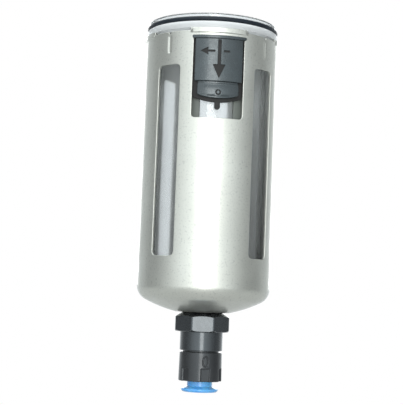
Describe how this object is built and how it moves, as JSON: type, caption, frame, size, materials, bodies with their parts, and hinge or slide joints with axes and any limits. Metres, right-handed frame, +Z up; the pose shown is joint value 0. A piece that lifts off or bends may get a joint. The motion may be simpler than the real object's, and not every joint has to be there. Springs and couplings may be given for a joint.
{
  "type": "pneumatic filter bowl assembly",
  "caption": "Clear filter bowl in a slotted metal guard with a bayonet lock button, a float-operated drain, a manual drain knob and a push-in tube outlet.",
  "frame": {"origin": "centre of the tube port's mouth, on the bowl's axis at the lowest point", "axes": "+Z up along the bowl's axis, from the drain's tube port to the bowl's mouth; -Y is the side with the lock button"},
  "size_m": [0.0608, 0.0619, 0.1661],
  "materials": {
    "painted_guard": "satin champagne-silver paint",
    "clear_bowl": "clear polycarbonate",
    "black_rubber": "matt",
    "button_black": "satin",
    "guide_black": "gloss",
    "knob_black": "satin",
    "spring_steel": "bright",
    "brass": "machined",
    "release_blue": "gloss",
    "washer_fibre": "matt",
    "white_acetal": "satin",
    "cage_grey": "satin"
  },
  "bodies": {
    "bowl_and_guard": {"bowl_guard": "painted_guard", "bowl": "clear_bowl", "bowl_o_ring": "black_rubber", "lock_spring": "spring_steel", "drain_guide": "guide_black", "guide_washer": "washer_fibre", "knob_clip": "spring_steel", "drain_housing": "white_acetal", "housing_seal": "black_rubber", "strainer": "spring_steel", "valve_spring": "spring_steel", "housing_cover": "white_acetal", "cover_seal": "black_rubber", "pilot_nozzle": "brass", "lever_pin": "spring_steel", "float_cage": "cage_grey", "cage_lid": "cage_grey"},
    "lock_button": {"lock_button": "button_black"},
    "drain_knob": {"drain_knob": "knob_black", "knob_seal": "black_rubber", "collet_ring": "brass", "collet": "spring_steel", "tube_seal": "black_rubber"},
    "release_button": {"release_button": "release_blue"},
    "drain_valve": {"valve_piston": "brass", "piston_seal": "black_rubber", "valve_seal": "black_rubber", "valve_cross_pin": "spring_steel"},
    "float": {"float": "white_acetal"},
    "float_lever": {"float_lever": "white_acetal", "pilot_pad": "black_rubber"}
  },
  "joints": [
    {"name": "lock_button_slide", "type": "slide", "parent": "bowl_and_guard", "child": "lock_button", "axis": [0, 0, -1], "range_m": [0, 0.0035], "stiffness_N_per_m": 900, "springref_m": -0.004, "deforming": ["lock_spring"]},
    {"name": "drain_knob_turn", "type": "hinge", "parent": "bowl_and_guard", "child": "drain_knob", "pos_m": [0, 0, 0.0112], "axis": [0, 0, 1], "range_deg": [0, 90]},
    {"name": "release_button_slide", "type": "slide", "parent": "drain_knob", "child": "release_button", "axis": [0, 0, 1], "range_m": [0, 0.0014], "stiffness_N_per_m": 1500, "springref_m": -0.0008},
    {"name": "drain_valve_slide", "type": "slide", "parent": "bowl_and_guard", "child": "drain_valve", "axis": [0, 0, -1], "range_m": [0, 0.0025], "deforming": ["valve_spring"]},
    {"name": "float_slide", "type": "slide", "parent": "bowl_and_guard", "child": "float", "axis": [0, 0, 1], "range_m": [0, 0.003]},
    {"name": "float_lever_turn", "type": "hinge", "parent": "bowl_and_guard", "child": "float_lever", "pos_m": [-0.006, 0, 0.071], "axis": [0, -1, 0], "range_deg": [0, 12.3]}
  ],
  "couplings": [
    {"joint": "drain_knob_turn", "follows": "drain_valve_slide", "rad_per_m": 628.31},
    {"joint": "float_lever_turn", "follows": "float_slide", "rad_per_m": 71.429}
  ]
}
